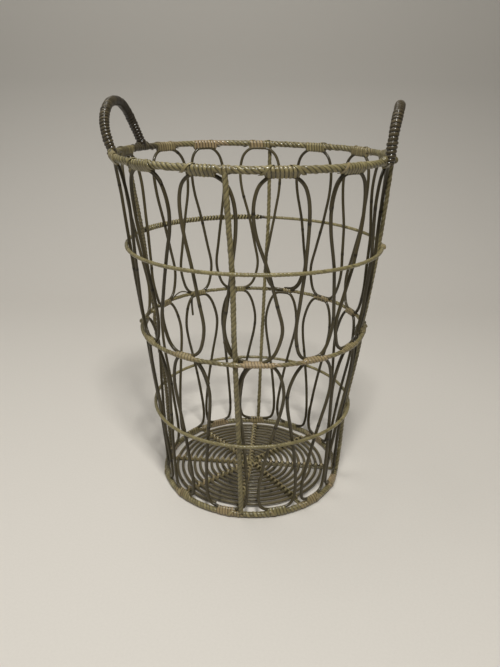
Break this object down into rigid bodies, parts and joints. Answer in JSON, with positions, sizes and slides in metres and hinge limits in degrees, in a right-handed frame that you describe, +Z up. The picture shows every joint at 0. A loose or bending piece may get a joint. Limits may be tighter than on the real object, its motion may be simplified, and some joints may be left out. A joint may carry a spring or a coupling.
{
  "type": "cane basket",
  "caption": "Tall open-work tapered cane basket with two fixed wrapped handles, thin hoops, looped cane sides and a flat coiled bottom.",
  "frame": {"origin": "on the floor under the middle of the overall width and depth", "axes": "+Z up the basket, +X to the right handle, +Y to the back"},
  "size_m": [0.4544, 0.4344, 0.6473],
  "materials": {
    "reed": "satin wound flat reed, greenish khaki",
    "dark_cane": "satin round cane, dark brown",
    "handle_reed": "glossy wound flat reed, dark brown",
    "mat_cane": "satin round cane, mid brown"
  },
  "bodies": {
    "root": {"rim_hoop": "reed", "upper_hoop": "reed", "middle_hoop": "reed", "lower_hoop": "reed", "base_hoop": "reed", "stake_front": "reed", "stake_right": "reed", "stake_back": "reed", "stake_left": "reed", "upper_loop_01": "dark_cane", "upper_loop_02": "dark_cane", "upper_loop_03": "dark_cane", "upper_loop_04": "dark_cane", "upper_loop_05": "dark_cane", "upper_loop_06": "dark_cane", "upper_loop_07": "dark_cane", "upper_loop_08": "dark_cane", "upper_loop_09": "dark_cane", "upper_loop_10": "dark_cane", "upper_loop_11": "dark_cane", "upper_loop_12": "dark_cane", "upper_loop_13": "dark_cane", "lower_loop_01": "dark_cane", "lower_loop_02": "dark_cane", "lower_loop_03": "dark_cane", "lower_loop_04": "dark_cane", "lower_loop_05": "dark_cane", "lower_loop_06": "dark_cane", "lower_loop_07": "dark_cane", "lower_loop_08": "dark_cane", "lower_loop_09": "dark_cane", "lower_loop_10": "dark_cane", "lower_loop_11": "dark_cane", "lower_loop_12": "dark_cane", "lower_loop_13": "dark_cane", "handle_left": "handle_reed", "handle_right": "handle_reed", "base_coil": "mat_cane", "base_hub": "mat_cane", "base_spoke_1": "mat_cane", "base_spoke_2": "mat_cane", "base_spoke_3": "mat_cane", "base_spoke_4": "mat_cane", "base_spoke_5": "mat_cane", "base_spoke_6": "mat_cane", "base_spoke_7": "mat_cane", "base_spoke_8": "mat_cane"}
  },
  "joints": []
}
